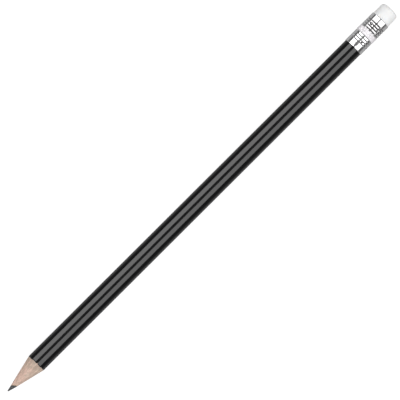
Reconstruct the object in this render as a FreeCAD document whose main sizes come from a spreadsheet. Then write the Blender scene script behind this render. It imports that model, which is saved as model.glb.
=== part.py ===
"""A round graphite pencil with a crimped ferrule and an eraser, in millimetres.

Every piece is drawn along +X with the writing point at x = 0 and the pencil's axis on the X axis. The
placement of the finished pieces then lays the pencil on the ground plane z = 0, with the origin under the
middle of its length. +X runs from the writing point to the eraser, and angles round the pencil are counted
from the top, +Z, towards +Y.
"""

import FreeCAD
import Part

import os

import Sketcher

PARTS_FOLDER = "parts"

# Driving dimensions: name, value, what it is. Lengths are in millimetres and angles in degrees.
SIZES = [
    ("overall_length", 188.3, "writing point to the eraser's end face"),
    ("barrel_radius", 3.6, "outside of the lacquer"),
    ("lacquer_thickness", 0.1, "all coats together"),
    ("core_radius", 0.9, "graphite core"),
    ("core_offset_y", -0.19, "core's axis from the pencil's, as the slats were milled off centre"),
    ("core_offset_z", 0.05, "the same, upwards"),
    ("glue_thickness", 0.05, "film between the two slats and round the core"),
    ("tip_radius", 0.12, "blunt end of the point"),
    ("lead_length", 2.85, "cone length that is graphite"),
    ("point_length", 14.1, "writing point to the edge of the lacquer"),
    ("eraser_stub", 5.15, "eraser that stands out of the ferrule"),
    ("eraser_radius", 3.6, "eraser outside the ferrule"),
    ("eraser_rounding", 1.25, "rounding of the eraser's rim"),
    ("eraser_shoulder_rounding", 0.08, "bulge where the eraser leaves the ferrule"),
    ("ferrule_length", 13.6, "whole ferrule"),
    ("ferrule_radius", 3.76, "outside of its plain bands"),
    ("ferrule_wall", 0.32, "sheet thickness"),
    ("ferrule_edge", 0.08, "chamfer on both mouths"),
    ("tenon_length", 6.74, "turned wood inside the ferrule"),
    ("shoulder_play", 0.05, "gap between the wood's shoulder and the ferrule's mouth"),
    ("ring_count", 4, "crimp rings on each side of the fluted band"),
    ("ring_tool_radius", 0.3, "nose radius of the crimping roller"),
    ("wood_ring_start", 2.56, "ferrule's lower mouth to the first ring over the wood"),
    ("wood_ring_pitch", 0.98, "from one of those rings to the next"),
    ("wood_ring_depth", 0.1, "depth of those rings"),
    ("eraser_ring_start", 8.25, "ferrule's lower mouth to the first ring over the eraser"),
    ("eraser_ring_pitch", 0.985, "from one of those rings to the next"),
    ("eraser_ring_depth", 0.17, "depth of those rings"),
    ("band_start", 5.7, "ferrule's lower mouth to the fluted band"),
    ("band_width", 2.0, "fluted band"),
    ("band_radius", 3.84, "crests of the fluted band"),
    ("flute_count", 60, "flutes round the band"),
    ("flute_radius", 0.16, "section of one flute"),
    ("flute_depth", 0.08, "depth of one flute"),
    ("punch_count", 6, "punch marks in each row"),
    ("wood_punch_place", 3.1, "ferrule's lower mouth to the punch row over the wood"),
    ("wood_punch_radius", 0.6, "nose of the punch used over the wood"),
    ("wood_punch_depth", 0.2, "depth of those punch marks"),
    ("wood_punch_angle", -12, "direction of the first of them, from the top"),
    ("eraser_punch_place", 10.12, "ferrule's lower mouth to the punch row over the eraser"),
    ("eraser_punch_radius", 0.95, "nose of the punch used over the eraser"),
    ("eraser_punch_depth", 0.36, "depth of those punch marks"),
    ("eraser_punch_angle", -40, "direction of the first of them, from the top"),
]

# Places along the axis and radii that follow from the driving dimensions, as expressions.
CASING_RADIUS = "(Sizes.barrel_radius - Sizes.lacquer_thickness)"
FERRULE_END = "(Sizes.overall_length - Sizes.eraser_stub)"
FERRULE_START = f"({FERRULE_END} - Sizes.ferrule_length)"
SHOULDER = f"({FERRULE_START} - Sizes.shoulder_play)"
CASING_END = f"({FERRULE_START} + Sizes.tenon_length)"
BORE_RADIUS = "(Sizes.ferrule_radius - Sizes.ferrule_wall)"
# A blank is cut longer than the piece that is made of it by this margin.
SPARE = 5

doc = FreeCAD.newDocument("GraphitePencil")


def make_sheet():
    """The spreadsheet that holds the driving dimensions."""
    sheet = doc.addObject("Spreadsheet::Sheet", "Sizes")
    for row, (name, number, meaning) in enumerate(SIZES, start=1):
        sheet.set(f"A{row}", name)
        sheet.set(f"B{row}", str(number))
        sheet.setAlias(f"B{row}", name)
        sheet.set(f"C{row}", meaning)
    doc.recompute()
    return sheet


def bind(obj, **expressions):
    """Binds properties of obj to expressions; a double underscore in a name stands for a dot."""
    for prop, expression in expressions.items():
        obj.setExpression(prop.replace("__", "."), str(expression))


def origin_feature(body, role):
    """The body's own origin plane or axis of that role."""
    return next(f for f in body.Origin.OriginFeatures if f.Role == role)


def add_sketch(body, name, plane, offset=None):
    """A sketch on one of the body's own origin planes, moved along the plane's normal by an expression."""
    sketch = body.newObject("Sketcher::SketchObject", name)
    sketch.AttachmentSupport = (origin_feature(body, plane), [""])
    sketch.MapMode = "FlatFace"
    if offset:
        bind(sketch, AttachmentOffset__Base__z=offset)
    return sketch


def constrain_distance(sketch, kind, name, start, end, expression):
    """Holds end at a distance from start, given by an expression. A point is a pair: geometry, vertex."""
    index = sketch.addConstraint(Sketcher.Constraint(kind, *start, *end, 1.0))
    sketch.renameConstraint(index, name)
    bind(sketch, **{f"Constraints__{name}": expression})


ORIGIN = (-1, 1)
X_AXIS_LINE = -1
Y_AXIS_LINE = -2
CENTRE = 3


def draw_half_section(sketch, points):
    """A closed outline of straight lines in the upper half plane, through (along, radius) expressions.

    None stands for a coordinate that is zero, which puts the point on that axis of the sketch.
    """
    count = len(points)
    # The lines start as a rough convex polygon in the right order. The constraints pull them into place.
    rough = [FreeCAD.Vector(1 + 10 * i, 1 + i * (count - i), 0) for i in range(count)]
    for i in range(count):
        sketch.addGeometry(Part.LineSegment(rough[i], rough[(i + 1) % count]))
    for i in range(count):
        sketch.addConstraint(Sketcher.Constraint("Coincident", i, 2, (i + 1) % count, 1))
    for i, (along, radius) in enumerate(points):
        if along is None:
            sketch.addConstraint(Sketcher.Constraint("PointOnObject", i, 1, Y_AXIS_LINE))
        else:
            constrain_distance(sketch, "DistanceX", f"along_{i}", ORIGIN, (i, 1), along)
        if radius is None:
            sketch.addConstraint(Sketcher.Constraint("PointOnObject", i, 1, X_AXIS_LINE))
        else:
            constrain_distance(sketch, "DistanceY", f"radius_{i}", ORIGIN, (i, 1), radius)


def draw_circle(sketch, along, height, radius):
    """A circle whose centre and radius are expressions."""
    sketch.addGeometry(Part.Circle(FreeCAD.Vector(2, 2, 0), FreeCAD.Vector(0, 0, 1), 1))
    index = sketch.addConstraint(Sketcher.Constraint("Radius", 0, 1.0))
    sketch.renameConstraint(index, "circle_radius")
    bind(sketch, Constraints__circle_radius=radius)
    constrain_distance(sketch, "DistanceY", "height", ORIGIN, (0, CENTRE), height)
    if along is None:
        sketch.addConstraint(Sketcher.Constraint("PointOnObject", 0, CENTRE, Y_AXIS_LINE))
    else:
        constrain_distance(sketch, "DistanceX", "along", ORIGIN, (0, CENTRE), along)


def turn(body, name, points):
    """A revolution of an outline about the pencil's axis."""
    sketch = add_sketch(body, name + "Outline", "XY_Plane")
    draw_half_section(sketch, points)
    turned = body.newObject("PartDesign::Revolution", name)
    turned.Profile = sketch
    turned.ReferenceAxis = (sketch, ["H_Axis"])
    turned.Angle = 360
    sketch.Visibility = False
    return turned


def roll_rings(body, name, row, growth="0"):
    """Rolls a row of round-bottomed rings into the body, over the wood or over the eraser.

    The roller's nose grows by growth, which gives the inside of the sheet that the rings are rolled into.
    Its centre stays the same, so that the wall keeps its thickness.
    """
    place = f"{FERRULE_START} + Sizes.{row}_ring_start"
    roller_centre = f"Sizes.ferrule_radius - Sizes.{row}_ring_depth + Sizes.ring_tool_radius"
    sketch = add_sketch(body, name + "Roller", "XY_Plane")
    draw_circle(sketch, place, roller_centre, f"Sizes.ring_tool_radius + {growth}")
    ring = body.newObject("PartDesign::Groove", name)
    ring.Profile = sketch
    ring.ReferenceAxis = (sketch, ["H_Axis"])
    ring.Angle = 360
    rings = body.newObject("PartDesign::LinearPattern", name + "Row")
    rings.Originals = [ring]
    rings.Direction = (sketch, ["H_Axis"])
    bind(rings, Length=f"Sizes.{row}_ring_pitch * (Sizes.ring_count - 1)", Occurrences="Sizes.ring_count")
    body.Tip = rings
    sketch.Visibility = False
    doc.recompute()


def rod(name, start, end, radius, sideways="0", upwards="0"):
    """A cylinder along the pencil's axis, moved towards +Y and +Z by the last two expressions."""
    cylinder = doc.addObject("Part::Cylinder", name)
    cylinder.Placement = FreeCAD.Placement(FreeCAD.Vector(), FreeCAD.Rotation(FreeCAD.Vector(0, 1, 0), 90))
    bind(cylinder, Radius=radius, Height=f"{end} - {start}")
    bind(cylinder, Placement__Base__x=start, Placement__Base__y=sideways, Placement__Base__z=upwards)
    return cylinder


def block(name, start, end, bottom, top):
    """A box round the pencil's axis from start to end along it, and from bottom to top in height."""
    box = doc.addObject("Part::Box", name)
    half_width = f"(Sizes.barrel_radius + {SPARE})"
    bind(box, Length=f"{end} - {start}", Width=f"2 * {half_width}", Height=f"{top} - {bottom}")
    bind(box, Placement__Base__x=start, Placement__Base__y=f"-{half_width}", Placement__Base__z=bottom)
    return box


def combine(kind, name, base, tool):
    """A boolean of two objects: Cut, Fuse or Common."""
    result = doc.addObject(f"Part::{kind}", name)
    result.Base = base
    result.Tool = tool
    return result


def punch_row(name, row, growth="0"):
    """The noses of one row of punches round the ferrule, as a group of balls; growth as for the rings."""
    centre = f"(Sizes.ferrule_radius - Sizes.{row}_punch_depth + Sizes.{row}_punch_radius)"
    balls = []
    for k in range(int(doc.Sizes.punch_count)):
        ball = doc.addObject("Part::Sphere", f"{name}{k}")
        angle = f"((Sizes.{row}_punch_angle + {k} * 360 / Sizes.punch_count) * 1deg)"
        bind(
            ball,
            Radius=f"Sizes.{row}_punch_radius + {growth}",
            Placement__Base__x=f"{FERRULE_START} + Sizes.{row}_punch_place",
            Placement__Base__y=f"{centre} * sin({angle})",
            Placement__Base__z=f"{centre} * cos({angle})",
        )
        balls.append(ball)
    group = doc.addObject("Part::Compound", name)
    group.Links = balls
    return group


def crimp(name, blank, growth="0"):
    """Sets both punch rows into a blank."""
    over_wood = combine("Cut", name + "OverWood", blank, punch_row(name + "WoodPunch", "wood", growth))
    return combine("Cut", name, over_wood, punch_row(name + "EraserPunch", "eraser", growth))


def make_point_form():
    """The space that the sharpener leaves: the blunt tip, the graphite's cone and the wood's flatter cone.

    The wood's cone runs on past the barrel, so that it also trims the edge of the lacquer.
    """
    body = doc.addObject("PartDesign::Body", "PointForm")
    reach = 1.5
    cone_end = f"Sizes.lead_length + {reach} * (Sizes.point_length - Sizes.lead_length)"
    cone_end_radius = f"Sizes.core_radius + {reach} * (Sizes.barrel_radius - Sizes.core_radius)"
    turn(
        body,
        "SharpenedForm",
        [
            (None, None),
            (None, "Sizes.tip_radius"),
            ("Sizes.lead_length", "Sizes.core_radius"),
            (cone_end, cone_end_radius),
            (CASING_END, cone_end_radius),
            (CASING_END, None),
        ],
    )
    return body


def make_ferrule_space():
    """The inside of the crimped ferrule from the wood's shoulder on, for the tenon and the eraser."""
    body = doc.addObject("PartDesign::Body", "FerruleSpace")
    turn(
        body,
        "FerruleSpaceBlank",
        [
            (SHOULDER, None),
            (SHOULDER, BORE_RADIUS),
            (FERRULE_END, BORE_RADIUS),
            (FERRULE_END, None),
        ],
    )
    doc.recompute()
    roll_rings(body, "WoodRingInside", "wood", "Sizes.ferrule_wall")
    roll_rings(body, "EraserRingInside", "eraser", "Sizes.ferrule_wall")
    return crimp("CrimpedSpace", body, "Sizes.ferrule_wall")


def cut_flutes(body):
    """Rolls the flutes along the raised band."""
    sketch = add_sketch(body, "FluteSection", "YZ_Plane", f"{FERRULE_START} + Sizes.band_start")
    flute_centre = "Sizes.band_radius + Sizes.flute_radius - Sizes.flute_depth"
    draw_circle(sketch, None, flute_centre, "Sizes.flute_radius")
    flute = body.newObject("PartDesign::Pocket", "Flute")
    flute.Profile = sketch
    # A pocket runs against its sketch's normal, which is +X here, so it is turned round.
    flute.Reversed = True
    bind(flute, Length="Sizes.band_width")
    flutes = body.newObject("PartDesign::PolarPattern", "Flutes")
    flutes.Originals = [flute]
    flutes.Axis = (sketch, ["N_Axis"])
    flutes.Angle = 360
    bind(flutes, Occurrences="Sizes.flute_count")
    body.Tip = flutes
    sketch.Visibility = False
    doc.recompute()


def make_ferrule(space):
    """The aluminium sleeve: a tube with crimp rings, a fluted band and two rows of punch marks."""
    body = doc.addObject("PartDesign::Body", "FerruleOutside")
    mouth_radius = "Sizes.ferrule_radius - Sizes.ferrule_edge"
    band_start = f"{FERRULE_START} + Sizes.band_start"
    band_end = f"{band_start} + Sizes.band_width"
    turn(
        body,
        "FerruleBlank",
        [
            (FERRULE_START, None),
            (FERRULE_START, mouth_radius),
            (f"{FERRULE_START} + Sizes.ferrule_edge", "Sizes.ferrule_radius"),
            (band_start, "Sizes.ferrule_radius"),
            (band_start, "Sizes.band_radius"),
            (band_end, "Sizes.band_radius"),
            (band_end, "Sizes.ferrule_radius"),
            (f"{FERRULE_END} - Sizes.ferrule_edge", "Sizes.ferrule_radius"),
            (FERRULE_END, mouth_radius),
            (FERRULE_END, None),
        ],
    )
    doc.recompute()
    roll_rings(body, "WoodRing", "wood")
    roll_rings(body, "EraserRing", "eraser")
    cut_flutes(body)
    return combine("Cut", "FerruleSleeve", crimp("CrimpedOutside", body), space)


def make_eraser(space):
    """The eraser plug: squeezed inside the ferrule, slightly wider and rounded where it stands out."""
    body = doc.addObject("PartDesign::Body", "EraserStub")
    stub = turn(
        body,
        "StubTurned",
        [
            (FERRULE_END, None),
            (FERRULE_END, "Sizes.eraser_radius"),
            ("Sizes.overall_length", "Sizes.eraser_radius"),
            ("Sizes.overall_length", None),
        ],
    )
    doc.recompute()
    rounded = body.newObject("PartDesign::Fillet", "StubRim")
    rounded.Base = (stub, [rim_edge(stub, last=True)])
    bind(rounded, Radius="Sizes.eraser_rounding")
    doc.recompute()
    eased = body.newObject("PartDesign::Fillet", "StubShoulder")
    eased.Base = (rounded, [rim_edge(rounded, last=False)])
    bind(eased, Radius="Sizes.eraser_shoulder_rounding")
    body.Tip = eased
    plug_block = block("PlugBlock", CASING_END, FERRULE_END, f"-{SPARE}", SPARE)
    return combine("Fuse", "EraserPlug", body, combine("Common", "PlugInside", space, plug_block))


def rim_edge(feature, last):
    """The name of the round edge nearest one end of a turned feature."""
    circles = [
        (edge.CenterOfMass.x, f"Edge{i}")
        for i, edge in enumerate(feature.Shape.Edges, start=1)
        if isinstance(edge.Curve, Part.Circle) and edge.Closed
    ]
    return (max(circles) if last else min(circles))[1]


def make_casing_blank(space, point_form):
    """The whole wooden casing: sharpened at one end, turned down to a crimped tenon at the other."""
    barrel = rod("CasingBarrel", "0", SHOULDER, CASING_RADIUS)
    tenon_block = block("TenonBlock", SHOULDER, CASING_END, f"-{SPARE}", SPARE)
    tenon = combine("Common", "Tenon", space, tenon_block)
    whole = combine("Fuse", "CasingWhole", barrel, tenon)
    return combine("Common", "CasingBlank", whole, point_form)


def make_slats(casing, glue_sleeve):
    """The two grooved slats, above and below the glue film."""
    half_film = "Sizes.glue_thickness / 2"
    upper_block = block("UpperBlock", "0", CASING_END, half_film, SPARE)
    lower_block = block("LowerBlock", "0", CASING_END, f"-{SPARE}", f"-{half_film}")
    upper = combine("Cut", "UpperSlat", combine("Common", "UpperHalf", casing, upper_block), glue_sleeve)
    lower = combine("Cut", "LowerSlat", combine("Common", "LowerHalf", casing, lower_block), glue_sleeve)
    return upper, lower


def make_glue(casing, glue_sleeve, core_rod):
    """The glue: a flat film between the slats, with a thin sleeve round the core."""
    half_film = "Sizes.glue_thickness / 2"
    film = block("GlueFilm", "0", CASING_END, f"-{half_film}", half_film)
    wet = combine("Fuse", "GlueWet", film, glue_sleeve)
    return combine("Common", "GlueSet", combine("Cut", "GlueHollow", wet, core_rod), casing)


def make_lacquer(point_form):
    """The lacquer, a thin sleeve on the casing, trimmed by the sharpener at the point."""
    outside = rod("LacquerOutside", "0", FERRULE_START, "Sizes.barrel_radius")
    inside = rod("LacquerInside", "0", FERRULE_START, CASING_RADIUS)
    return combine("Common", "LacquerCoat", combine("Cut", "LacquerTube", outside, inside), point_form)


def make_pieces():
    """Every sub-part by the name of its node."""
    point_form = make_point_form()
    space = make_ferrule_space()
    casing = make_casing_blank(space, point_form)
    core_offset = ("Sizes.core_offset_y", "Sizes.core_offset_z")
    core_rod = rod("CoreRod", "0", CASING_END, "Sizes.core_radius", *core_offset)
    sleeve_radius = "Sizes.core_radius + Sizes.glue_thickness"
    glue_sleeve = rod("GlueSleeve", "0", CASING_END, sleeve_radius, *core_offset)
    upper, lower = make_slats(casing, glue_sleeve)
    return {
        "graphite_core": combine("Common", "GraphiteCore", core_rod, point_form),
        "upper_casing_slat": upper,
        "lower_casing_slat": lower,
        "slat_glue_film": make_glue(casing, glue_sleeve, core_rod),
        "lacquer_coat": make_lacquer(point_form),
        "ferrule": make_ferrule(space),
        "eraser": make_eraser(space),
    }


def place_pieces(pieces):
    """Labels each finished piece and lays it on the ground plane, under the middle of the pencil."""
    for name, piece in pieces.items():
        piece.Label = name
        bind(piece, Placement__Base__x="-Sizes.overall_length / 2", Placement__Base__z="Sizes.band_radius")


def check_document():
    """Stops if any object failed to recompute."""
    failed = [obj.Name for obj in doc.Objects if "Invalid" in obj.State or "Error" in obj.State]
    if failed:
        raise RuntimeError(f"these objects failed: {failed}")


def check_piece(name, shape):
    """Stops unless the shape is one valid closed solid."""
    if shape.isNull() or not shape.isValid() or len(shape.Solids) != 1:
        raise RuntimeError(f"{name} is not one valid solid")


def check_fits(pieces):
    """Stops if two pieces share more than a sliver of space."""
    sliver = 0.01
    names = sorted(pieces)
    for i, first in enumerate(names):
        for second in names[i + 1 :]:
            shared = pieces[first].Shape.common(pieces[second].Shape).Volume
            if shared > sliver:
                raise RuntimeError(f"{first} and {second} share {shared:.3f} mm3")


def write_pieces(pieces):
    """Writes one STEP file for each piece."""
    os.makedirs(PARTS_FOLDER, exist_ok=True)
    for name, piece in pieces.items():
        check_piece(name, piece.Shape)
        piece.Shape.exportStep(f"{PARTS_FOLDER}/{piece.Label}.step")
        box = piece.Shape.optimalBoundingBox(True, False)
        along = f"x {box.XMin:.2f} to {box.XMax:.2f}"
        print(f"{name}: {piece.Shape.Volume:.2f} mm3, {along}, z {box.ZMin:.2f} to {box.ZMax:.2f}")


make_sheet()
PIECES = make_pieces()
place_pieces(PIECES)
doc.recompute()
check_document()
check_fits(PIECES)
write_pieces(PIECES)
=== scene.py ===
"""The looks of a round graphite pencil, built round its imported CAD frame.

The pencil lies along +X, from the writing point to the eraser, on the plane z = 0. Lengths are in
metres, and places and depths on the ferrule are in millimetres. Every piece but the glue film is a
lathed height field about the pencil's axis: a grid of stations along X and angles round the axis, whose
radius holds the relief of that piece. An angle of 0 points up, +Z, and 90 degrees points to +Y.
"""

import math

import bpy
import numpy as np
from mathutils import Matrix, Vector


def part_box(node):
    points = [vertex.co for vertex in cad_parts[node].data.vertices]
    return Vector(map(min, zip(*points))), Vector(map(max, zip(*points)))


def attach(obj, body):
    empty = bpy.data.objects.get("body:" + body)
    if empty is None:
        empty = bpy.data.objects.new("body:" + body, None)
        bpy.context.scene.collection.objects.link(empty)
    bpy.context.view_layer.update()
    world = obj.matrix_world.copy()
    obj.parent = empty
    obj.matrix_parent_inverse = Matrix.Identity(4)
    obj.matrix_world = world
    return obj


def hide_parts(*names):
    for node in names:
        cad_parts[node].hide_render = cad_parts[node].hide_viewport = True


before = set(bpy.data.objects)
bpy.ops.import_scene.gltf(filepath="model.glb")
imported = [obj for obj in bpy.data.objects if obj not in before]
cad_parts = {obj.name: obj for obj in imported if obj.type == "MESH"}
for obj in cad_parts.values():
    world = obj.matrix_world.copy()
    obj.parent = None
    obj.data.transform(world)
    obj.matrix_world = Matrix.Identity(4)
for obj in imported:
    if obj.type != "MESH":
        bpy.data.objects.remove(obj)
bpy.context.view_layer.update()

MM = 0.001
TURN = 2 * math.pi

# ----------------------------------------------------------------------------------------
# Places and radii, read from the frame
# ----------------------------------------------------------------------------------------


def node_span(node):
    """Where a CAD node starts and ends along the pencil."""
    low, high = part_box(node)
    return low.x, high.x


def node_radius(node):
    """Half the width of a round CAD node."""
    low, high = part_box(node)
    return (high.y - low.y) / 2


TIP, CORE_END = node_span("graphite_core")
FERRULE_START = node_span("lacquer_coat")[1]
FERRULE_END = node_span("ferrule")[1]
CASING_END, PENCIL_END = node_span("eraser")
BARREL_R = node_radius("lacquer_coat")
CASING_R = node_radius("slat_glue_film")
BAND_R = node_radius("ferrule")
ERASER_R = node_radius("eraser")
CORE_R = node_radius("graphite_core")
AXIS_Z = sum(corner.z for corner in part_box("lacquer_coat")) / 2
# The core's own axis, which lies a little off the pencil's.
CORE_Y = sum(corner.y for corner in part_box("graphite_core")) / 2
CORE_Z = sum(corner.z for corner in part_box("graphite_core")) / 2 - AXIS_Z
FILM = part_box("upper_casing_slat")[0].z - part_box("lower_casing_slat")[1].z

# The sharpened point: its whole length, the length that is graphite, the tip's radius and how far the
# worn tip leans to one side. The graphite is worn a little steeper than the wood behind it.
POINT_LENGTH = 14.1 * MM
LEAD_LENGTH = 2.85 * MM
TIP_R = 0.16 * MM
TIP_LEAN = 0.1 * MM
PAINT_EDGE = TIP + POINT_LENGTH
LEAD_SLOPE = (CORE_R - TIP_R) / LEAD_LENGTH
WOOD_SLOPE = (BARREL_R - CORE_R) / (PAINT_EDGE - TIP - LEAD_LENGTH)
# Where the cone cuts through to the wood under the paint.
CUT_START = PAINT_EDGE - (BARREL_R - CASING_R) / WOOD_SLOPE


# ----------------------------------------------------------------------------------------
# Numbers that vary smoothly
# ----------------------------------------------------------------------------------------

# Odd factors that scatter a whole number's bits.
CELL_FACTOR, MIX_FACTOR = np.uint64(0x9E3779B97F4A7C15), np.uint64(0xBF58476D1CE4E5B9)


def smoothstep(low, high, value):
    """0 below low, 1 above high and smooth between them."""
    t = np.clip((value - low) / (high - low), 0, 1)
    return t * t * (3 - 2 * t)


def lattice(seed, *cells):
    """A repeatable random number from -1 to 1 for each set of whole-numbered cells."""
    mixed = np.full(np.broadcast(*cells).shape, seed * 7919 + 17, dtype=np.uint64)
    for cell in cells:
        mixed = mixed ^ (cell.astype(np.int64).astype(np.uint64) * CELL_FACTOR)
        mixed = (mixed ^ (mixed >> np.uint64(29))) * MIX_FACTOR
        mixed = mixed ^ (mixed >> np.uint64(32))
    return (mixed % np.uint64(1 << 24)).astype(float) / (1 << 23) - 1


def noise(seed, along, round_, around_cells):
    """Smooth random relief from -1 to 1 over cells along and round; it closes after around_cells cells."""
    i, j = np.floor(along), np.floor(round_)
    u, v = along - i, round_ - j
    u, v = u * u * (3 - 2 * u), v * v * (3 - 2 * v)

    def corner(di, dj):
        return lattice(seed, i + di, np.mod(j + dj, around_cells))

    near = corner(0, 0) * (1 - v) + corner(0, 1) * v
    far = corner(1, 0) * (1 - v) + corner(1, 1) * v
    return near * (1 - u) + far * u


def relief(seed, x, angle, length, count):
    """Noise with features of that length along the pencil and so many of them round it."""
    return noise(seed, x / length, angle / TURN * count, count)


def stations(*stretches):
    """Places along X from stretches of (start, end, step), each with its start; the last end is added."""
    places = [np.arange(start, end - step / 2, step) for start, end, step in stretches]
    return np.concatenate([*places, [stretches[-1][1]]])


# ----------------------------------------------------------------------------------------
# Mesh making
# ----------------------------------------------------------------------------------------


def polar(x, angle, radius):
    """Points round the pencil's axis; every argument is an array of one shape."""
    return np.stack([x, radius * np.sin(angle), AXIS_Z + radius * np.cos(angle)], axis=-1)


def grid_faces(rows, columns, wrap_rows=False, wrap_columns=False):
    """Quads over a grid of vertices stored row by row."""
    i = np.arange(rows if wrap_rows else rows - 1)[:, None]
    j = np.arange(columns if wrap_columns else columns - 1)[None, :]
    i_next, j_next = (i + 1) % rows, (j + 1) % columns
    quads = [i * columns + j, i * columns + j_next, i_next * columns + j_next, i_next * columns + j]
    return np.stack(np.broadcast_arrays(*quads), axis=-1).reshape(-1, 4).tolist()


def make_piece(name, vertices, faces, node, material):
    """A smooth-shaded mesh object with outward normals, which stands for a CAD node."""
    mesh = bpy.data.meshes.new(name)
    mesh.from_pydata(np.asarray(vertices).reshape(-1, 3).tolist(), [], faces)
    mesh.validate()
    mesh.shade_smooth()
    piece = bpy.data.objects.new(name, mesh)
    bpy.context.scene.collection.objects.link(piece)
    face_outwards(mesh)
    mesh.materials.append(material)
    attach(piece, "root")
    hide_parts(node)
    return piece


def face_outwards(mesh):
    """Turns a closed mesh inside out if its volume is negative."""
    mesh.calc_loop_triangles()
    corners = np.empty(len(mesh.loop_triangles) * 3, int)
    mesh.loop_triangles.foreach_get("vertices", corners)
    points = np.empty(len(mesh.vertices) * 3)
    mesh.vertices.foreach_get("co", points)
    a, b, c = points.reshape(-1, 3)[corners.reshape(-1, 3)].transpose(1, 0, 2)
    if np.einsum("ij,ij->i", a, np.cross(b, c)).sum() < 0:
        mesh.flip_normals()


def add_cap(vertices, faces, ring, middle):
    """Closes a ring of vertex numbers with a fan to a point."""
    vertices.append(middle)
    hub = len(vertices) - 1
    count = len(ring)
    faces += [[ring[k], ring[(k + 1) % count], hub] for k in range(count)]


def lathed_solid(x, radius, angles, ends):
    """A solid about the axis from a grid of stations and angles, closed by a fan at both ends."""
    rows, columns = radius.shape
    vertices = polar(x, np.broadcast_to(angles, radius.shape), radius).reshape(-1, 3).tolist()
    faces = grid_faces(rows, columns, wrap_columns=True)
    add_cap(vertices, faces, list(range(columns))[::-1], ends[0])
    add_cap(vertices, faces, list(range((rows - 1) * columns, rows * columns)), ends[1])
    return vertices, faces


def full_circle(count):
    """Evenly spaced angles round the pencil."""
    return np.arange(count) * TURN / count


# ----------------------------------------------------------------------------------------
# Material making
# ----------------------------------------------------------------------------------------


class Nodes:
    """Short calls that add nodes to a node tree and join them."""

    def __init__(self, tree):
        self.tree = tree

    def add(self, kind, **settings):
        node = self.tree.nodes.new(kind)
        for key, value in settings.items():
            setattr(node, key, value)
        return node

    def join(self, source, target):
        self.tree.links.new(source, target)

    def feed(self, target, value):
        """Joins an output or sets a plain value."""
        if isinstance(value, bpy.types.NodeSocket):
            self.join(value, target)
        else:
            target.default_value = value

    def math(self, operation, a, b=0.0):
        node = self.add("ShaderNodeMath", operation=operation)
        self.feed(node.inputs[0], a)
        self.feed(node.inputs[1], b)
        return node.outputs[0]

    def remap(self, value, low, high, to_low=0.0, to_high=1.0):
        """Value from low..high to to_low..to_high, smooth and held at the ends."""
        node = self.add("ShaderNodeMapRange", interpolation_type="SMOOTHSTEP")
        limits = {"From Min": low, "From Max": high, "To Min": to_low, "To Max": to_high}
        for key, number in limits.items():
            node.inputs[key].default_value = number
        self.join(value, node.inputs["Value"])
        return node.outputs["Result"]

    def window(self, value, rise, full, fade, gone):
        """0 up to rise, 1 from full to fade, 0 from gone on."""
        return self.math("MULTIPLY", self.remap(value, rise, full), self.remap(value, fade, gone, 1, 0))

    def mix(self, share, a, b):
        node = self.add("ShaderNodeMix", data_type="RGBA")
        self.feed(node.inputs["Factor"], share)
        self.feed(node.inputs["A"], a)
        self.feed(node.inputs["B"], b)
        return node.outputs["Result"]

    def parts_of(self, vector):
        """The X, Y and Z of a vector."""
        parts = self.add("ShaderNodeSeparateXYZ")
        self.join(vector, parts.inputs[0])
        return parts.outputs["X"], parts.outputs["Y"], parts.outputs["Z"]


class Surface(Nodes):
    """A material with one Principled shader, and calls for patterns on the object."""

    def __init__(self, name):
        self.material = bpy.data.materials.new(name)
        self.material.use_nodes = True
        super().__init__(self.material.node_tree)
        self.tree.nodes.clear()
        self.shader = self.add("ShaderNodeBsdfPrincipled")
        self.join(self.shader.outputs[0], self.add("ShaderNodeOutputMaterial").inputs["Surface"])
        self.place = self.add("ShaderNodeNewGeometry").outputs["Position"]

    def stretched(self, scale, offset=(0, 0, 0)):
        """The place on the object, each axis scaled on its own, so that a pattern stretches along it."""
        mapping = self.add("ShaderNodeMapping")
        mapping.inputs["Scale"].default_value = scale
        mapping.inputs["Location"].default_value = offset
        self.join(self.place, mapping.inputs["Vector"])
        return mapping.outputs[0]

    def noise(self, vector, detail=3.0, roughness=0.55, distortion=0.0):
        node = self.add("ShaderNodeTexNoise")
        self.join(vector, node.inputs["Vector"])
        node.inputs["Scale"].default_value = 1.0
        node.inputs["Detail"].default_value = detail
        node.inputs["Roughness"].default_value = roughness
        node.inputs["Distortion"].default_value = distortion
        return node.outputs["Fac"]

    def bump(self, height, strength, distance, below=None):
        node = self.add("ShaderNodeBump")
        node.inputs["Strength"].default_value = strength
        node.inputs["Distance"].default_value = distance
        self.join(height, node.inputs["Height"])
        if below is not None:
            self.join(below, node.inputs["Normal"])
        return node.outputs["Normal"]

    def radius(self):
        """Distance from the pencil's axis."""
        _, y, z = self.parts_of(self.place)
        across = self.math("POWER", y, 2.0)
        height = self.math("POWER", self.math("SUBTRACT", z, AXIS_Z), 2.0)
        return self.math("SQRT", self.math("ADD", across, height))

    def along(self):
        """Distance along X."""
        return self.parts_of(self.place)[0]

    def finish(self, colour, roughness, normal=None, **plain):
        """Feeds the shader; plain values are set on its own sockets."""
        self.feed(self.shader.inputs["Base Color"], colour)
        self.feed(self.shader.inputs["Roughness"], roughness)
        if normal is not None:
            self.join(normal, self.shader.inputs["Normal"])
        for key, value in plain.items():
            self.shader.inputs[key.replace("_", " ")].default_value = value
        return self.material


def rgb(red, green, blue):
    """An opaque colour from linear values."""
    return (red, green, blue, 1.0)


# ----------------------------------------------------------------------------------------
# Graphite core
# ----------------------------------------------------------------------------------------

# The first ring at the tip stays open by this much.
SMALLEST_R = 0.01 * MM


def core_radius_at(angle, radius):
    """Distance from the pencil's axis to a circle of that radius round the core's own axis."""
    towards_core = CORE_Y * np.sin(angle) + CORE_Z * np.cos(angle)
    across = CORE_Y * np.cos(angle) - CORE_Z * np.sin(angle)
    return towards_core + np.sqrt(radius**2 - across**2)


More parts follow.
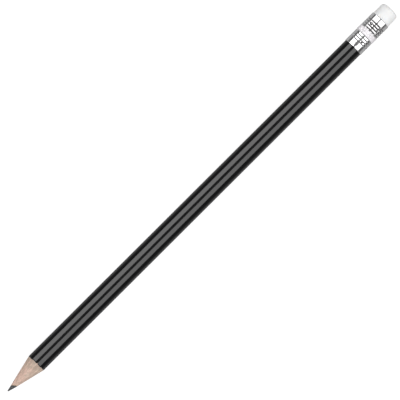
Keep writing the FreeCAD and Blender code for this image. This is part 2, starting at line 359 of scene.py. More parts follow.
def lead_radius(x, angle):
    """The graphite's sharpened surface: a blunt cone, worn to one side, with fine turning marks."""
    out = x - TIP
    worn = TIP_LEAN * np.sin(angle) * np.clip(1 - out / LEAD_LENGTH, 0, 1)
    cone = TIP_R + out * LEAD_SLOPE + worn
    blunt = np.sqrt(np.maximum(0, 1 - np.maximum(0, 1 - out / (1.3 * TIP_R)) ** 2))
    facets = 1 - 0.05 * np.cos(3 * angle + 0.7) - 0.03 * np.cos(7 * angle + out / (0.9 * MM))
    marks = 1 + 0.006 * np.sin(out / (0.11 * MM) * TURN + angle) * smoothstep(0, 0.4 * MM, out)
    grit = 0.006 * MM * relief(3, x, angle, 0.12 * MM, 40) * smoothstep(0, 0.6 * MM, out)
    chips = 0.022 * MM * np.maximum(0, relief(5, x, angle, 0.45 * MM, 9) - 0.35)
    return cone * blunt * facets * marks + grit - chips


def make_lead(material):
    """The graphite core: its sharpened point, and the rod that runs on inside the casing."""
    angles = full_circle(144)
    blunt_end, point_end = TIP + 0.2 * MM, TIP + 4.4 * MM
    x = stations(
        (TIP + 0.004 * MM, blunt_end, 0.012 * MM),
        (blunt_end, point_end, 0.035 * MM),
        (point_end, CORE_END, 8 * MM),
    )
    grid_x, grid_angle = np.meshgrid(x, angles, indexing="ij")
    rod = core_radius_at(grid_angle, CORE_R)
    radius = np.clip(lead_radius(grid_x, grid_angle), SMALLEST_R, rod)
    ends = [[TIP, 0, AXIS_Z], [CORE_END, CORE_Y, AXIS_Z + CORE_Z]]
    vertices, faces = lathed_solid(grid_x, radius, angles, ends)
    return make_piece("graphite_lead", vertices, faces, "graphite_core", material)


def graphite_material():
    """Fired graphite: dark grey, with a soft sheen, fine turning streaks and paler rubbed patches."""
    n = Surface("sharpened graphite")
    streaks = n.noise(n.stretched((9000, 2500, 2500)), detail=4)
    patches = n.noise(n.stretched((2600, 2600, 2600), (3, 1, 2)), detail=4, roughness=0.65)
    colour = n.mix(n.remap(patches, 0.38, 0.66), rgb(0.03, 0.031, 0.034), rgb(0.13, 0.13, 0.132))
    colour = n.mix(n.remap(streaks, 0.4, 0.75, 0, 0.45), colour, rgb(0.17, 0.172, 0.175))
    roughness = n.remap(patches, 0.3, 0.7, 0.6, 0.42)
    normal = n.bump(streaks, 0.5, 0.006 * MM, n.bump(patches, 0.8, 0.02 * MM))
    return n.finish(colour, roughness, normal, Metallic=0.2, Specular_IOR_Level=0.6)


# ----------------------------------------------------------------------------------------
# Wooden casing
# ----------------------------------------------------------------------------------------

# The tenon starts at a step, given a length that is next to nothing.
TENON_STEP = 0.001 * MM
# The wood's front edge stands this far over the lead, and is this thick.
EDGE_LIFT, EDGE_THICKNESS = 0.012 * MM, 0.01 * MM


def wood_cone_radius(x, angle):
    """The sharpened wood: a cone whose edge wavers, with raised fibres, sunk pores and a faint chatter."""
    out = x - TIP
    cone = CORE_R + (out - LEAD_LENGTH) * WOOD_SLOPE
    wander = 0.022 * MM * relief(11, x, angle, 40 * MM, 7)
    wander = wander + 0.012 * MM * relief(12, x, angle, 40 * MM, 19)
    fibres = 0.008 * MM * relief(13, x, angle, 2.2 * MM, 110)
    fibres = fibres + 0.006 * MM * relief(14, x, angle, 0.8 * MM, 190)
    pores = -0.02 * MM * smoothstep(0.55, 0.9, relief(15, x, angle, 1.1 * MM, 150))
    chatter = 0.0025 * MM * np.sin(out / (0.55 * MM) * TURN + 0.6 * np.sin(angle))
    return cone + wander + fibres + pores + chatter


def slat_angles(side, count):
    """Evenly spaced angles over the upper or the lower half."""
    start = -math.pi / 2 if side > 0 else math.pi / 2
    return start + np.linspace(0, math.pi, count)


def slat_front(angles):
    """Where the wood begins: where its cone reaches the lead, with a ragged edge."""
    still = angles * 0
    front = TIP + LEAD_LENGTH + (core_radius_at(angles, CORE_R) - CORE_R) / WOOD_SLOPE
    front = front + 0.09 * MM * relief(21, still, angles, MM, 23)
    return front + 0.05 * MM * relief(22, still, angles, MM, 61)


def slat_stations(front):
    """Rows of places along X: over the cone, along the barrel and, after a step, along the tenon."""
    cone_end = PAINT_EDGE + 0.6 * MM
    cone = front[None, :] + (cone_end - front)[None, :] * np.linspace(0, 1, 96)[:, None]
    barrel = np.linspace(cone_end, FERRULE_START, 14)[1:]
    tenon = np.linspace(FERRULE_START, CASING_END, 8)[1:]
    later = np.concatenate([barrel, [FERRULE_START + TENON_STEP], tenon])
    return np.concatenate([cone, np.broadcast_to(later[:, None], (len(later), len(front)))])


def slat_surfaces(x, angle):
    """The slat's outer and inner radius. Where it begins it is a thin edge that lies on the lead."""
    limit = np.where(x > FERRULE_START + TENON_STEP / 2, TENON_R, CASING_R)
    lead = np.minimum(lead_radius(x, angle), core_radius_at(angle, CORE_R))
    outer = np.maximum(np.minimum(wood_cone_radius(x, angle), limit), lead + EDGE_LIFT)
    inner = np.minimum(core_radius_at(angle, CORE_R + FILM), outer - EDGE_THICKNESS)
    return outer, inner


def close_ends(faces, rows, columns):
    """Adds the quads between the outer and the inner half of the first row and of the last."""
    for row, turned in ((0, False), (rows - 1, True)):
        first = row * columns
        for k in range(columns // 2 - 1):
            quad = [first + k, first + columns - 1 - k, first + columns - 2 - k, first + k + 1]
            faces.append(quad[::-1] if turned else quad)


def make_slat(name, side, node, material):
    """One grooved slat, from the edge round the lead to the end of the tenon."""
    angles = slat_angles(side, 190)
    x = slat_stations(slat_front(angles))
    grid_angle = np.broadcast_to(angles, x.shape)
    outer, inner = slat_surfaces(x, grid_angle)
    outer_points = joint_plane(polar(x, grid_angle, outer), side)
    inner_points = joint_plane(polar(x, grid_angle, inner), side)
    ring = np.concatenate([outer_points, inner_points[:, ::-1]], axis=1)
    rows, columns = ring.shape[:2]
    faces = grid_faces(rows, columns, wrap_columns=True)
    close_ends(faces, rows, columns)
    return make_piece(name, ring, faces, node, material)


def joint_plane(points, side):
    """Holds a slat's points on its own side of the glue film."""
    points = points.copy()
    edge = AXIS_Z + side * FILM / 2
    points[..., 2] = np.maximum(points[..., 2], edge) if side > 0 else np.minimum(points[..., 2], edge)
    return points


def wood_material():
    """Sharpened pencil wood: pale and pinkish, with growth rings, long fibres and short dark pores."""
    n = Surface("sharpened pencil wood")
    rings = n.noise(n.stretched((55, 900, 1500), (0.4, 0.2, 0.1)), detail=2, distortion=0.4)
    streaks = n.noise(n.stretched((330, 3300, 3300), (2, 9, 4)), detail=3, roughness=0.6)
    fibres = n.noise(n.stretched((420, 9000, 9000)), detail=4, roughness=0.65)
    pores = n.noise(n.stretched((900, 14000, 14000), (5, 2, 8)), detail=2)
    blush = n.noise(n.stretched((420, 700, 700), (1, 7, 3)), detail=2)
    flecks = n.noise(n.stretched((2300, 5200, 5200), (3, 3, 9)), detail=2)
    bands = n.noise(n.stretched((240, 2400, 2400), (6, 2, 5)), detail=3, roughness=0.6)
    # Each layer: a pattern, the level where its tint starts, the level where it is full, its share there.
    layers = [
        (blush, 0.42, 0.62, 0.7, rgb(0.69, 0.44, 0.365)),
        (blush, 0.48, 0.3, 0.7, rgb(0.6, 0.485, 0.39)),
        (streaks, 0.47, 0.66, 0.75, rgb(0.43, 0.33, 0.265)),
        (bands, 0.5, 0.62, 0.5, rgb(0.47, 0.365, 0.29)),
        (bands, 0.46, 0.36, 0.35, rgb(0.8, 0.575, 0.48)),
        (streaks, 0.5, 0.3, 0.6, rgb(0.8, 0.6, 0.505)),
        (fibres, 0.48, 0.7, 0.5, rgb(0.46, 0.33, 0.26)),
        (flecks, 0.58, 0.7, 0.5, rgb(0.86, 0.7, 0.58)),
        (pores, 0.62, 0.74, 0.7, rgb(0.33, 0.19, 0.14)),
    ]
    colour = n.mix(n.remap(rings, 0.38, 0.66), rgb(0.725, 0.525, 0.435), rgb(0.62, 0.44, 0.355))
    for pattern, start, full, share, tint in layers:
        colour = n.mix(n.remap(pattern, start, full, 0, share), colour, tint)
    # Painted shade: the slats' -Y side is a little darker and greyer.
    _, across, _ = n.parts_of(n.place)
    colour = n.mix(n.remap(across, 0, -2.4 * MM, 0, 0.45), colour, rgb(0.52, 0.42, 0.33))
    colour = denser_grain(n, colour, bands)
    normal = n.bump(fibres, 0.6, 0.02 * MM, n.bump(pores, 0.5, -0.02 * MM))
    roughness = n.remap(fibres, 0.3, 0.7, 0.5, 0.68)
    return n.finish(colour, roughness, normal, Specular_IOR_Level=0.35)


def denser_grain(n, colour, bands):
    """The wood's colour, with denser and browner grain towards the barrel, in broad streaks."""
    near_barrel = n.remap(n.along(), PAINT_EDGE - 5.5 * MM, PAINT_EDGE - 0.5 * MM)
    broad = n.noise(n.stretched((140, 1500, 1500), (1, 8, 2)), detail=2)
    layers = [
        (n.remap(bands, 0.42, 0.56, 0.1, 0.9), rgb(0.45, 0.365, 0.29)),
        (n.remap(broad, 0.5, 0.6, 0, 0.7), rgb(0.4, 0.3, 0.235)),
        (n.remap(broad, 0.47, 0.38, 0, 0.7), rgb(0.82, 0.64, 0.5)),
    ]
    for share, tint in layers:
        colour = n.mix(n.math("MULTIPLY", near_barrel, share), colour, tint)
    return colour


def glue_material():
    """The set glue: a thin amber line."""
    n = Surface("set wood glue")
    spread = n.noise(n.stretched((700, 4000, 4000)), detail=3)
    colour = n.mix(n.remap(spread, 0.35, 0.7), rgb(0.5, 0.33, 0.22), rgb(0.62, 0.45, 0.32))
    return n.finish(colour, n.remap(spread, 0.3, 0.7, 0.45, 0.6), n.bump(spread, 0.4, 0.01 * MM))


# ----------------------------------------------------------------------------------------
# Lacquer
# ----------------------------------------------------------------------------------------

# The bevel at the paint's front edge, and where the full coat starts behind it.
BEVEL_LENGTH = 0.28 * MM
BODY_START = PAINT_EDGE + 0.8 * MM


def paint_edge_jag(angle):
    """How far the paint's edge stands back from its cone, round the barrel: waves and small chips."""
    still = angle * 0
    waves = 0.15 * relief(31, still, angle, 1, 13) + 0.09 * relief(32, still, angle, 1, 37)
    chips = 0.3 * smoothstep(0.3, 0.7, relief(33, still, angle, 1, 53))
    lean = -0.05 * np.sin(angle)
    return MM * np.maximum(waves + chips + lean, -0.12)


def lacquer_edge(angles):
    """The paint's chipped front edge: a bevel from the wood up to the full coat, rounded at its top."""
    share_along = np.array([0.0, 0.25, 0.5, 0.75, 0.93, 1.0, 1.05])
    share_up = np.array([0.0, 0.25, 0.5, 0.75, 0.95, 0.99, 1.0])
    front = CUT_START + 0.08 * MM + paint_edge_jag(angles)
    x = front[None, :] + BEVEL_LENGTH * share_along[:, None]
    return x, CASING_R + (BARREL_R - CASING_R) * np.broadcast_to(share_up[:, None], x.shape)


def lacquer_body(angles):
    """The flowed-out gloss surface, from the bevel to the ferrule."""
    along = stations(
        (BODY_START, PAINT_EDGE + 3 * MM, 0.2 * MM),
        (PAINT_EDGE + 3 * MM, FERRULE_START - 0.4 * MM, 1.1 * MM),
        (FERRULE_START - 0.4 * MM, FERRULE_START - 0.02 * MM, 0.1 * MM),
    )
    x = np.broadcast_to(along[:, None], (len(along), len(angles)))
    return x, BARREL_R + lacquer_relief(x, np.broadcast_to(angles, x.shape))


def lacquer_back(angles):
    """The square back end, and the inside from there to the front."""
    back_x = np.full((2, len(angles)), FERRULE_START)
    back_r = np.stack([np.full(len(angles), BARREL_R - 0.02 * MM), np.full(len(angles), CASING_R)])
    inside = np.linspace(FERRULE_START, BODY_START, 12)[1:]
    inner_x = np.broadcast_to(inside[:, None], (len(inside), len(angles)))
    inner_r = np.full(inner_x.shape, CASING_R)
    return np.concatenate([back_x, inner_x]), np.concatenate([back_r, inner_r])


def make_lacquer(material):
    """The lacquer as a thin tube on the wood."""
    angles = full_circle(288)
    stretches = [lacquer_edge(angles), lacquer_body(angles), lacquer_back(angles)]
    x = np.concatenate([stretch[0] for stretch in stretches])
    radius = np.concatenate([stretch[1] for stretch in stretches])
    points = polar(x, np.broadcast_to(angles, x.shape), radius)
    faces = grid_faces(*x.shape, wrap_rows=True, wrap_columns=True)
    return make_piece("lacquer_skin", points, faces, "lacquer_coat", material)


def lacquer_relief(x, angle):
    """The slight unevenness of the milled wood under the paint, a few thousandths of a millimetre."""
    swell = 0.0035 * relief(41, x, angle, 9 * MM, 6) + 0.0015 * relief(42, x, angle, 2.6 * MM, 24)
    return MM * (swell - 0.005)


def lacquer_material():
    """Dark grey gloss lacquer, with a pale primer under it that shows on the cut edge."""
    n = Surface("dark grey gloss lacquer")
    depth = n.radius()
    primer = n.remap(depth, CASING_R + 0.012 * MM, CASING_R + 0.02 * MM, 1, 0)
    mottle = n.noise(n.stretched((350, 900, 900)), detail=3)
    peel = n.noise(n.stretched((1100, 1100, 1100), (2, 2, 2)), detail=2)
    grey = n.mix(n.remap(mottle, 0.35, 0.7), rgb(0.0052, 0.0052, 0.0056), rgb(0.0075, 0.0075, 0.008))
    colour = n.mix(primer, grey, rgb(0.5, 0.47, 0.44))
    roughness = n.remap(mottle, 0.3, 0.7, 0.07, 0.11)
    normal = n.bump(peel, 0.25, 0.004 * MM)
    return n.finish(colour, roughness, normal, IOR=1.6)


# ----------------------------------------------------------------------------------------
# Ferrule
# ----------------------------------------------------------------------------------------

# Places along the ferrule are in mm from its mouth, where it meets the lacquer.
FERRULE_R = BARREL_R + 0.12 * MM
FERRULE_LENGTH = (FERRULE_END - FERRULE_START) / MM
SHEET = 0.3 * MM
# The jaws that crimped the sleeve left it slightly flat-sided, less so at its mouth than at the eraser.
JAWS, JAW_HEIGHT = 9, 0.037 * MM
JAW_SHARE_AT_MOUTH, JAW_SHARE_AT_ERASER = 0.8, 1.3
TENON_R = FERRULE_R - SHEET - JAW_HEIGHT
# Two groups of rings: the first ring's place, the pitch, and then each ring's depth and half width, in mm.
RINGS_IN_GROUP = 4
RING_GROUPS = [(2.56, 0.98, 0.085, 0.22), (8.25, 0.985, 0.15, 0.29)]
# The roller bit less deep on the +Y side: the share of the rings' depth that is lost there.
LOST_BITE = 0.6
BAND_START, BAND_STOP = 5.7, 7.68
FLUTES, FLUTE_DEPTH = 60, 0.075
# A flattened spot on top, between the mouth and the first ring: place, half sizes and depth, in mm.
FLAT_PLACE, FLAT_LENGTH, FLAT_WIDTH, FLAT_DEPTH = 1.66, 0.8, 0.7, 0.105
# Punch rows: place along the ferrule, direction of the first mark in degrees, and then the radius and the
# depth in mm of each mark round the ferrule.
PUNCH_ROWS = [
    (3.1, -15, [(0.4, 0.17), (0.44, 0.12), (0.45, 0.16), (0.5, 0.18), (0.42, 0.14), (0.45, 0.16)]),
    (10.12, -40, [(1.05, 0.36), (0.64, 0.22), (0.6, 0.2), (0.95, 0.28), (0.62, 0.22), (0.7, 0.24)]),
]
# The marks are a little longer round the ferrule than along it. Their floors rise from the middle to the
# walls, and the punch's point leaves a pit in the middle: shares of the depth and of the radius.
MARK_STRETCH, FLOOR_RISE, PIT_SHARE = 1.12, 0.7, 0.11


def rolled_rings(along, first, pitch, depth, width):
    """Rings rolled with a narrow wheel, with slightly raised lips, as a change of radius in mm."""
    change = 0 * along
    for k in range(RINGS_IN_GROUP):
        off = np.abs(along - (first + pitch * k)) / width
        rounded = np.sqrt(off**2 + 0.01) - 0.1
        valley = -depth * np.maximum(0, 1 - rounded) ** 1.4
        lip = 0.10 * depth * np.exp(-(((off - 1.3) / 0.35) ** 2))
        change = change + valley + lip
    return change


def band_profile(along, angle):
    """The raised band and its flutes, as a change of radius in mm."""
    risen = smoothstep(BAND_START - 0.05, BAND_START + 0.16, along)
    fallen = smoothstep(BAND_STOP - 0.16, BAND_STOP + 0.05, along)
    height = (BAND_R - FERRULE_R) / MM - 0.01
    wave = 0.5 - 0.5 * np.cos(FLUTES * angle)
    flute = FLUTE_DEPTH * (1 - wave) ** 1.3
    return risen * (1 - fallen) * (height - flute)


def punch_marks(along, angle, radius):
    """The radius in mm after both rows of punch marks are set in: walls, a floor and the punch's point."""
    for place, first, marks in PUNCH_ROWS:
        for k, (nose, depth) in enumerate(marks):
            towards = math.radians(first) + TURN * k / len(marks)
            apart = (angle - towards + math.pi) % TURN - math.pi
            off = np.hypot(along - place, apart * FERRULE_R / MM / MARK_STRETCH) / nose
            pit = PIT_SHARE * nose * np.exp(-((off / 0.24) ** 2))
            floor = FERRULE_R / MM - depth + FLOOR_RISE * depth * off**2 - pit
            radius = radius + (soft_min(floor, radius, 0.05) - radius) * (1 - smoothstep(0.62, 1.0, off))
    return radius


def soft_min(a, b, blend):
    """The lesser of two surfaces, with the corner between them rounded."""
    share = np.clip(0.5 + (b - a) / (2 * blend), 0, 1)
    return b * (1 - share) + a * share - blend * share * (1 - share)


def jaw_sides(along, angle):
    """The flat sides that the jaws left on both sides of the band, as a change of radius in mm."""
    outside_band = smoothstep(0.0, 0.3, np.maximum(BAND_START - along, along - BAND_STOP))
    gain = JAW_SHARE_AT_ERASER - JAW_SHARE_AT_MOUTH
    share = JAW_SHARE_AT_MOUTH + gain * smoothstep(BAND_START, BAND_STOP, along)
    return JAW_HEIGHT / MM * share * np.cos(JAWS * angle) * outside_band


def flattened_spot(along, angle):
    """The flattened spot, as a depth in mm."""
    apart = (angle + math.pi) % TURN - math.pi
    off_along = (along - FLAT_PLACE) / FLAT_LENGTH
    off_round = apart * FERRULE_R / MM / FLAT_WIDTH
    return FLAT_DEPTH * np.exp(-(off_along**2) - off_round**2)


def ferrule_radius_mm(along, angle):
    """The ferrule's outside."""
    radius = FERRULE_R / MM + jaw_sides(along, angle)
    bite = 1 - LOST_BITE * smoothstep(0.65, 0.94, np.sin(angle))
    for group in RING_GROUPS:
        radius = radius + bite * rolled_rings(along, *group)
    radius = radius + band_profile(along, angle) - flattened_spot(along, angle)
    radius = punch_marks(along, angle, radius)
    dings = 0.006 * relief(51, along, angle, 1.9, 13) + 0.003 * relief(52, along, angle, 0.7, 31)
    mouth = -0.04 * (1 - smoothstep(0, 0.06, along))
    back = -0.05 * smoothstep(FERRULE_LENGTH - 0.16, FERRULE_LENGTH, along)
    return radius + dings + mouth + back


def ferrule_inside_mm(along, angle):
    """The sleeve's inside: round, dented under the rings and marks, and a little wider at both rims."""
    inner = np.minimum(TENON_R / MM, ferrule_radius_mm(along, angle) - SHEET / MM)
    rim = np.clip(np.minimum(along, FERRULE_LENGTH - along) / 0.1, 0, 1)
    return inner + (1 - rim) * 0.03


def make_ferrule(material):
    """The crimped aluminium sleeve, as one sheet that is closed over both rims."""
    angles = full_circle(FLUTES * 8)
    # The steps are shortest over the rings and the marks.
    along = stations(
        (0, 0.12, 0.03),
        (0.12, 0.9, 0.13),
        (0.9, 2.3, 0.1),
        (2.3, 5.9, 0.065),
        (5.9, 7.6, 0.16),
        (7.6, 11.8, 0.065),
        (11.8, 13.4, 0.13),
        (13.4, FERRULE_LENGTH, 0.04),
    )
    back_along = np.concatenate([[FERRULE_LENGTH], along[::-6][1:-1], [0]])
    outside = np.meshgrid(along, angles, indexing="ij")
    inside = np.meshgrid(back_along, angles, indexing="ij")
    x = FERRULE_START + np.concatenate([outside[0], inside[0]]) * MM
    radius = np.concatenate([ferrule_radius_mm(*outside), ferrule_inside_mm(*inside)]) * MM
    points = polar(x, np.broadcast_to(angles, x.shape), radius)
    faces = grid_faces(*x.shape, wrap_rows=True, wrap_columns=True)
    return make_piece("crimped_ferrule", points, faces, "ferrule", material)


def ferrule_material():
    """Bright drawn aluminium: fine scratches, faint smudges, painted shade in the crimps and a pale
    frosted band.
    """
    n = Surface("drawn aluminium")
    height = n.math("SUBTRACT", n.radius(), FERRULE_R)
    along = n.math("SUBTRACT", n.along(), FERRULE_START)
    scratches = n.noise(n.stretched((16000, 700, 700)), detail=3, roughness=0.6)
    smudges = n.noise(n.stretched((420, 420, 420), (4, 4, 1)), detail=3)
    colour = n.mix(n.remap(smudges, 0.35, 0.7), rgb(0.9, 0.895, 0.9), rgb(0.83, 0.82, 0.825))
    # Painted shade in the hollows: the grooves and the walls of the punch marks are darkened, and the
    # marks' floors, deeper still, keep the metal's own colour.
    painted_groove_shade = n.window(height, -0.24 * MM, -0.19 * MM, -0.1 * MM, -0.05 * MM)
    colour = n.mix(n.math("MULTIPLY", painted_groove_shade, 0.85), colour, rgb(0.11, 0.11, 0.12))
    band_edges = [BAND_START - 0.25, BAND_START - 0.1, BAND_STOP - 0.05, BAND_STOP + 0.08]
    band = n.window(along, *[edge * MM for edge in band_edges])
    colour = n.mix(band, colour, rgb(0.93, 0.9, 0.93))
    polish = n.remap(smudges, 0.3, 0.7, 0.18, 0.24)
    roughness = n.math("ADD", polish, n.math("MULTIPLY", band, 0.22))
    n.join(n.math("SUBTRACT", 0.95, n.math("MULTIPLY", band, 0.6)), n.shader.inputs["Metallic"])
    normal = n.bump(scratches, 0.15, 0.002 * MM)
    return n.finish(colour, roughness, normal)


# ----------------------------------------------------------------------------------------
# Eraser
# ----------------------------------------------------------------------------------------

# The rounding of the eraser's rim, and the radius of its side.
RIM_ROUNDING = 1.25 * MM
SIDE_R = ERASER_R - 0.04 * MM


def eraser_outline():
    """Places along X and radii, over the plug, the neck at the ferrule's rim, the side and the face."""
    rim_start = PENCIL_END - RIM_ROUNDING
    face_r = ERASER_R - RIM_ROUNDING
    plug = np.linspace(CASING_END, FERRULE_END - 0.12 * MM, 12)
    neck = stations((FERRULE_END - 0.1 * MM, FERRULE_END + 0.5 * MM, 0.04 * MM))
    side = np.linspace(FERRULE_END + 0.55 * MM, rim_start, 22)
    bend = np.linspace(0, math.pi / 2, 22)[1:]
    face = np.linspace(face_r, 0.25 * MM, 16)[1:]
    neck_share = smoothstep(FERRULE_END - 0.08 * MM, FERRULE_END + 0.1 * MM, neck)
    swell = 0.05 * MM * np.exp(-(((side - FERRULE_END) / (1.1 * MM)) ** 2))
    x = np.concatenate([plug, neck, side, rim_start + RIM_ROUNDING * np.sin(bend), face * 0 + PENCIL_END])
    radius = np.concatenate([
        np.full(len(plug), TENON_R - 0.012 * MM),
        TENON_R - 0.01 * MM + (SIDE_R + 0.045 * MM - TENON_R) * neck_share,
        SIDE_R - 0.02 * MM + swell,
        face_r + (RIM_ROUNDING - 0.06 * MM) * np.cos(bend),
        face,
    ])
    return x, radius


def soften_stub(x, radius, angle):
    """The free end after its lumps are added and its face is domed a little."""
    stub = smoothstep(FERRULE_END, FERRULE_END + 0.6 * MM, x)
    lumps = 0.012 * MM * relief(61, x, angle, 1.9 * MM, 9)
    lumps = lumps + 0.004 * MM * relief(62, x, angle, 0.5 * MM, 44)
    radius = radius + stub * lumps * smoothstep(0, 2 * MM, radius)
    dome = 0.05 * MM * (radius / ERASER_R) ** 2 + 0.006 * MM * relief(63, radius, angle, 0.7 * MM, 12)
    x = x - np.where(x > PENCIL_END - 0.2 * MM, np.maximum(dome, 0), 0)
    return x, radius


def make_eraser(material):
    """The eraser: a plug in the ferrule, dented like it, and a soft, rounded free end."""
    angles = full_circle(160)
    x, radius = eraser_outline()
    grid_x, grid_angle = np.meshgrid(x, angles, indexing="ij")
    grid_r = np.broadcast_to(radius[:, None], grid_x.shape)
    grid_x, grid_r = soften_stub(grid_x, grid_r, grid_angle)
    dented = plug_radius(grid_x, grid_angle)
    grid_r = np.where(grid_x < FERRULE_END - 0.15 * MM, np.minimum(grid_r, dented), grid_r)
    ends = [[CASING_END, 0, AXIS_Z], [PENCIL_END, 0, AXIS_Z]]
    vertices, faces = lathed_solid(grid_x, grid_r, angles, ends)
    return make_piece("eraser_plug", vertices, faces, "eraser", material)


def plug_radius(x, angle):
    """How far out the squeezed plug may reach, under the ferrule's rings and punch marks."""
    along = (x - FERRULE_START) / MM
    return (ferrule_radius_mm(along, angle) - SHEET / MM - 0.01) * MM


def eraser_material():
    """White vinyl: matt, faintly powdery, a little light passing through it."""
    n = Surface("white eraser vinyl")
    powder = n.noise(n.stretched((5200, 5200, 5200)), detail=4, roughness=0.7)
    clouds = n.noise(n.stretched((300, 300, 300), (2, 5, 1)), detail=2)
    specks = n.noise(n.stretched((2600, 2600, 2600), (7, 7, 7)), detail=1)
    colour = n.mix(n.remap(clouds, 0.35, 0.7), rgb(0.87, 0.87, 0.87), rgb(0.83, 0.832, 0.826))
    colour = n.mix(n.remap(specks, 0.71, 0.78, 0, 0.35), colour, rgb(0.55, 0.55, 0.56))
    normal = n.bump(powder, 0.35, 0.02 * MM)
    roughness = n.remap(powder, 0.3, 0.7, 0.55, 0.72)
    return n.finish(
        colour,
        roughness,
        normal,
        Subsurface_Weight=0.25,
        Subsurface_Radius=(0.6, 0.55, 0.5),
        Subsurface_Scale=0.0012,
        Specular_IOR_Level=0.35,
    )


# ----------------------------------------------------------------------------------------
# Studio
# ----------------------------------------------------------------------------------------

# Two wide soft lights over the pencil, one on each side: tilt towards +Y from straight up and half width,
# in degrees, and brightness of the lit disc.
SOFT_LIGHTS = [("soft_light_left", 39.4, 22.8, 2.55), ("soft_light_right", -34.6, 22.4, 2.13)]
# A very wide light from overhead, too even to leave a highlight.
FILL_LIGHT = ("fill_light", -30, 87, 0.49)
FLOOR_GLOW = 0.88
# The floor's radii and heights in metres, from its raised edge to the flat middle.
FLOOR_EDGE = [(8.0, 0.9), (7.9, 0.55), (7.6, 0.25), (7.2, 0.1), (6.5, 0.02)]
FLOOR_PROFILE = FLOOR_EDGE + [(5.0, 0.0), (1.5, 0.0), (0.3, 0.0)]
# Low panels off both ends of the pencil: their brightness, and where they fade in and out, by the part of
# a unit direction that points along the pencil and by the part that points up.
PANEL_BRIGHTNESS = 1.8
PANEL_ENDWAYS = (0.42, 0.56, 0.8, 0.92)
PANEL_UPWARDS = (0.02, 0.08, 0.2, 0.28)
# The surroundings' brightness at some heights over the horizon, in degrees.
WORLD_BRIGHTNESS = [(-90, 0.2), (-50, 0.36), (-30, 0.46), (-8, 0.08), (12, 0.04), (60, 0.06), (90, 0.1)]


def add_soft_light(name, tilt, half_width, brightness):
    """A sun wide enough to act as a round soft box far away."""
    light = bpy.data.lights.new(name, "SUN")
    light.angle = 2 * math.radians(half_width)
    light.energy = brightness * math.pi * math.sin(math.radians(half_width)) ** 2
    lamp = bpy.data.objects.new(name, light)
    lamp.rotation_euler = (-math.radians(tilt), 0, 0)
    bpy.context.scene.collection.objects.link(lamp)
    return lamp


def make_floor():
    """A wide pale floor that curves up at its far edge, so that no horizon shows."""
    angles = full_circle(96)
    vertices = [[r * math.cos(a), r * math.sin(a), height] for r, height in FLOOR_PROFILE for a in angles]
    faces = grid_faces(len(FLOOR_PROFILE), len(angles), wrap_columns=True)
    innermost = (len(FLOOR_PROFILE) - 1) * len(angles)
    add_cap(vertices, faces, list(range(innermost, innermost + len(angles))), [0, 0, 0])
    mesh = bpy.data.meshes.new("floor")
    mesh.from_pydata(vertices, [], faces)
    mesh.shade_smooth()
    floor = bpy.data.objects.new("floor", mesh)
    bpy.context.scene.collection.objects.link(floor)
    n = Surface("pale paper floor")
    fibre = n.noise(n.stretched((60, 60, 60)), detail=3)
    pale = n.mix(fibre, rgb(0.21, 0.21, 0.215), rgb(0.23, 0.23, 0.23))
    n.shader.inputs["Emission Color"].default_value = rgb(1, 1, 1)
    mesh.materials.append(n.finish(pale, 0.9, Emission_Strength=FLOOR_GLOW))
    # The light that comes up from below is the world's, which is dimmer than this bright table top.
    floor.visible_glossy = False
    floor.visible_diffuse = False


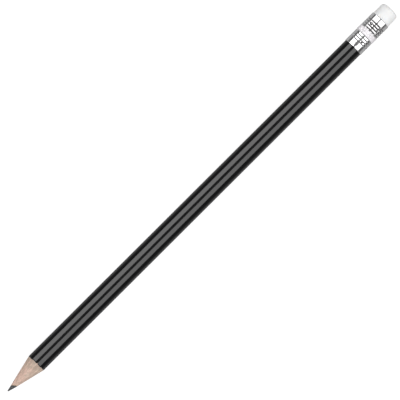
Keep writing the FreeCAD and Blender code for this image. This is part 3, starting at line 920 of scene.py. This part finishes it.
def make_world():
    """Dim studio surroundings: darkest round the horizon, a little brighter overhead and below."""
    world = bpy.data.worlds.new("studio")
    bpy.context.scene.world = world
    world.use_nodes = True
    n = Nodes(world.node_tree)
    x, _, z = n.parts_of(n.add("ShaderNodeTexCoord").outputs["Generated"])
    ramp = n.add("ShaderNodeValToRGB")
    ramp.color_ramp.interpolation = "EASE"
    n.join(n.math("MULTIPLY", n.math("ADD", z, 1.0), 0.5), ramp.inputs["Fac"])
    stops = ramp.color_ramp.elements
    for _ in range(len(WORLD_BRIGHTNESS) - len(stops)):
        stops.new(0.5)
    for stop, (level, brightness) in zip(stops, WORLD_BRIGHTNESS):
        stop.position = (1 + math.sin(math.radians(level))) / 2
        stop.color = rgb(brightness, brightness, brightness)
    # The barrel mirrors the end panels only to someone who looks along it.
    endways = n.window(n.math("ABSOLUTE", x), *PANEL_ENDWAYS)
    panels = n.math("MULTIPLY", endways, n.window(z, *PANEL_UPWARDS))
    colour = n.mix(panels, ramp.outputs["Color"], rgb(*[PANEL_BRIGHTNESS] * 3))
    n.join(colour, n.tree.nodes["Background"].inputs["Color"])


# ----------------------------------------------------------------------------------------
# Camera
# ----------------------------------------------------------------------------------------

SENSOR = 36.0
VIEW_WIDTH = 139.1 * MM
CAMERA_DISTANCE = 1.5
# The pencil runs up to the right in the picture. The camera stands a little towards the pencil's point
# and a hair off its axis.
PICTURE_TURN = math.radians(44.907)
CAMERA_LEAN = math.radians(3)
CAMERA_ASIDE = -0.035 * MM


def make_camera():
    """A long lens that looks almost straight down on the pencil."""
    right = Vector((math.cos(PICTURE_TURN), -math.sin(PICTURE_TURN), 0))
    up = Vector((math.sin(PICTURE_TURN), math.cos(PICTURE_TURN), 0))
    lean = Matrix.Rotation(-CAMERA_LEAN, 3, "Y")
    axes = [lean @ right, lean @ up, lean @ Vector((0, 0, 1))]
    data = bpy.data.cameras.new("camera")
    data.sensor_width = SENSOR
    data.lens = SENSOR * CAMERA_DISTANCE / VIEW_WIDTH
    data.clip_start, data.clip_end = 0.1, 50
    camera = bpy.data.objects.new("camera", data)
    bpy.context.scene.collection.objects.link(camera)
    place = Vector((0, CAMERA_ASIDE, AXIS_Z)) + CAMERA_DISTANCE * axes[2]
    camera.matrix_world = Matrix.Translation(place) @ Matrix(axes).transposed().to_4x4()
    bpy.context.scene.camera = camera


# ----------------------------------------------------------------------------------------
# The scene
# ----------------------------------------------------------------------------------------


def dress_glue_film(material):
    """The CAD glue film stays, with its own material."""
    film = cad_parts["slat_glue_film"]
    film.data.materials.clear()
    film.data.materials.append(material)


make_camera()
make_world()
make_floor()
for settings in SOFT_LIGHTS:
    add_soft_light(*settings)
add_soft_light(*FILL_LIGHT).visible_glossy = False
bpy.context.scene.view_settings.view_transform = "Standard"

wood = wood_material()
make_lead(graphite_material())
make_slat("upper_slat_wood", 1, "upper_casing_slat", wood)
make_slat("lower_slat_wood", -1, "lower_casing_slat", wood)
dress_glue_film(glue_material())
make_lacquer(lacquer_material())
make_ferrule(ferrule_material())
make_eraser(eraser_material())
